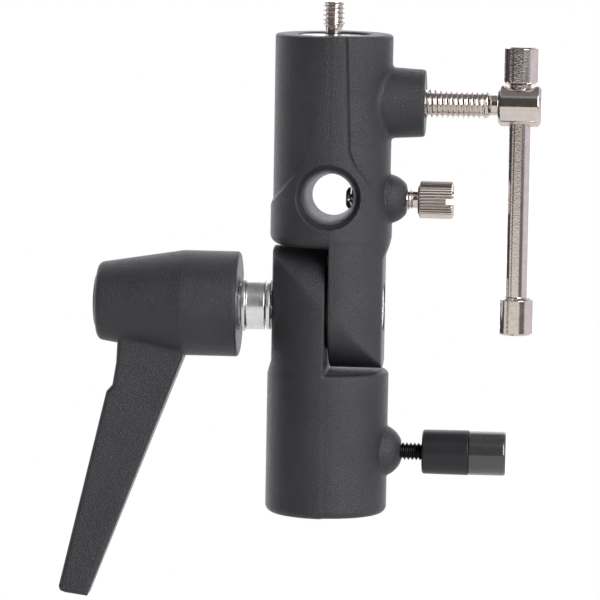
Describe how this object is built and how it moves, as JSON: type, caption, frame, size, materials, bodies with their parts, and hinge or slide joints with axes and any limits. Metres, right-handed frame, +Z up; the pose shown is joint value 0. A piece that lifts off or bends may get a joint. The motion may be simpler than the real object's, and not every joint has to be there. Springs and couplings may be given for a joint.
{
  "type": "umbrella swivel bracket",
  "caption": "Tilting light-stand bracket with a stand socket, reversible threaded spigot, umbrella hole, ratchet clamping lever and T-handle screw.",
  "frame": {"origin": "centre of the stand socket's mouth, on the bottom face of the lower body", "axes": "+Z up along the body from the stand socket to the threaded stud; +X towards the T-handle screw, away from the clamping lever; the umbrella hole runs along Y"},
  "size_m": [0.1301, 0.0334, 0.1648],
  "materials": {
    "powder_coat": "matte",
    "lever_coat": "matte",
    "nickel": "polished",
    "bright_steel": "satin",
    "black_steel": "satin",
    "brass": "satin",
    "black_plastic": "satin",
    "charcoal_cap": "matte",
    "friction_fibre": "matte"
  },
  "bodies": {
    "lower": {"lower_body": "powder_coat", "thrust_washer": "bright_steel", "friction_disc": "friction_fibre"},
    "upper": {"upper_body": "powder_coat", "pivot_bolt": "bright_steel", "bolt_washer": "bright_steel"},
    "spigot": {"spigot": "nickel"},
    "clamp_nut": {"clamp_nut": "bright_steel", "lever_retaining_screw": "bright_steel", "lever_spring": "bright_steel"},
    "lever": {"lever_handle": "lever_coat", "lever_end_cap": "black_plastic"},
    "t_foot": {"t_screw_pad": "brass"},
    "t_screw": {"t_screw": "nickel"},
    "t_bar": {"t_bar": "nickel", "t_bar_cap_top": "nickel", "t_bar_cap_bottom": "nickel"},
    "umbrella_foot": {"umbrella_lock_tip": "nickel"},
    "umbrella_screw": {"umbrella_lock_screw": "nickel"},
    "stand_foot": {"stand_lock_pad": "brass"},
    "stand_screw": {"stand_lock_screw": "black_steel", "stand_lock_grip": "black_plastic", "stand_lock_cap": "charcoal_cap"}
  },
  "joints": [
    {"name": "swivel", "type": "hinge", "parent": "lower", "child": "upper", "pos_m": [0, 0, 0.0563], "axis": [1, 0, 0], "range_deg": [-90, 90]},
    {"name": "lever_turn", "type": "hinge", "parent": "lower", "child": "clamp_nut", "pos_m": [0, 0, 0.0563], "axis": [1, 0, 0], "range_deg": [-180, 0]},
    {"name": "lever_pull", "type": "slide", "parent": "clamp_nut", "child": "lever", "axis": [-1, 0, 0], "range_m": [0, 0.0052], "stiffness_N_per_m": 1500, "springref_m": -0.003, "deforming": ["lever_spring"]},
    {"name": "spigot_turn", "type": "hinge", "parent": "upper", "child": "spigot", "pos_m": [-0.0002, 0, 0.12], "axis": [0, 0, 1], "continuous": true},
    {"name": "t_screw_travel", "type": "slide", "parent": "upper", "child": "t_foot", "axis": [1, 0, 0], "range_m": [0, 0.00846]},
    {"name": "t_screw_turn", "type": "hinge", "parent": "t_foot", "child": "t_screw", "pos_m": [0, 0, 0.1124], "axis": [1, 0, 0], "range_deg": [0, 2160]},
    {"name": "t_bar_slide", "type": "slide", "parent": "t_screw", "child": "t_bar", "axis": [0, 0, 1], "range_m": [0, 0.046]},
    {"name": "umbrella_lock_travel", "type": "slide", "parent": "upper", "child": "umbrella_foot", "axis": [1, 0, 0], "range_m": [-0.003, 0.004]},
    {"name": "umbrella_lock_turn", "type": "hinge", "parent": "umbrella_foot", "child": "umbrella_screw", "pos_m": [0, 0, 0.08615], "axis": [1, 0, 0], "range_deg": [-1081, 1441]},
    {"name": "stand_lock_travel", "type": "slide", "parent": "lower", "child": "stand_foot", "axis": [1, 0, 0], "range_m": [-0.00529, 0.00317]},
    {"name": "stand_lock_turn", "type": "hinge", "parent": "stand_foot", "child": "stand_screw", "pos_m": [0, 0, 0.01695], "axis": [1, 0, 0], "range_deg": [-1800, 1080]}
  ],
  "couplings": [
    {"joint": "t_screw_turn", "follows": "t_screw_travel", "rad_per_m": 4452.7},
    {"joint": "umbrella_lock_turn", "follows": "umbrella_lock_travel", "rad_per_m": 6283.2},
    {"joint": "stand_lock_turn", "follows": "stand_lock_travel", "rad_per_m": 5936.9}
  ]
}
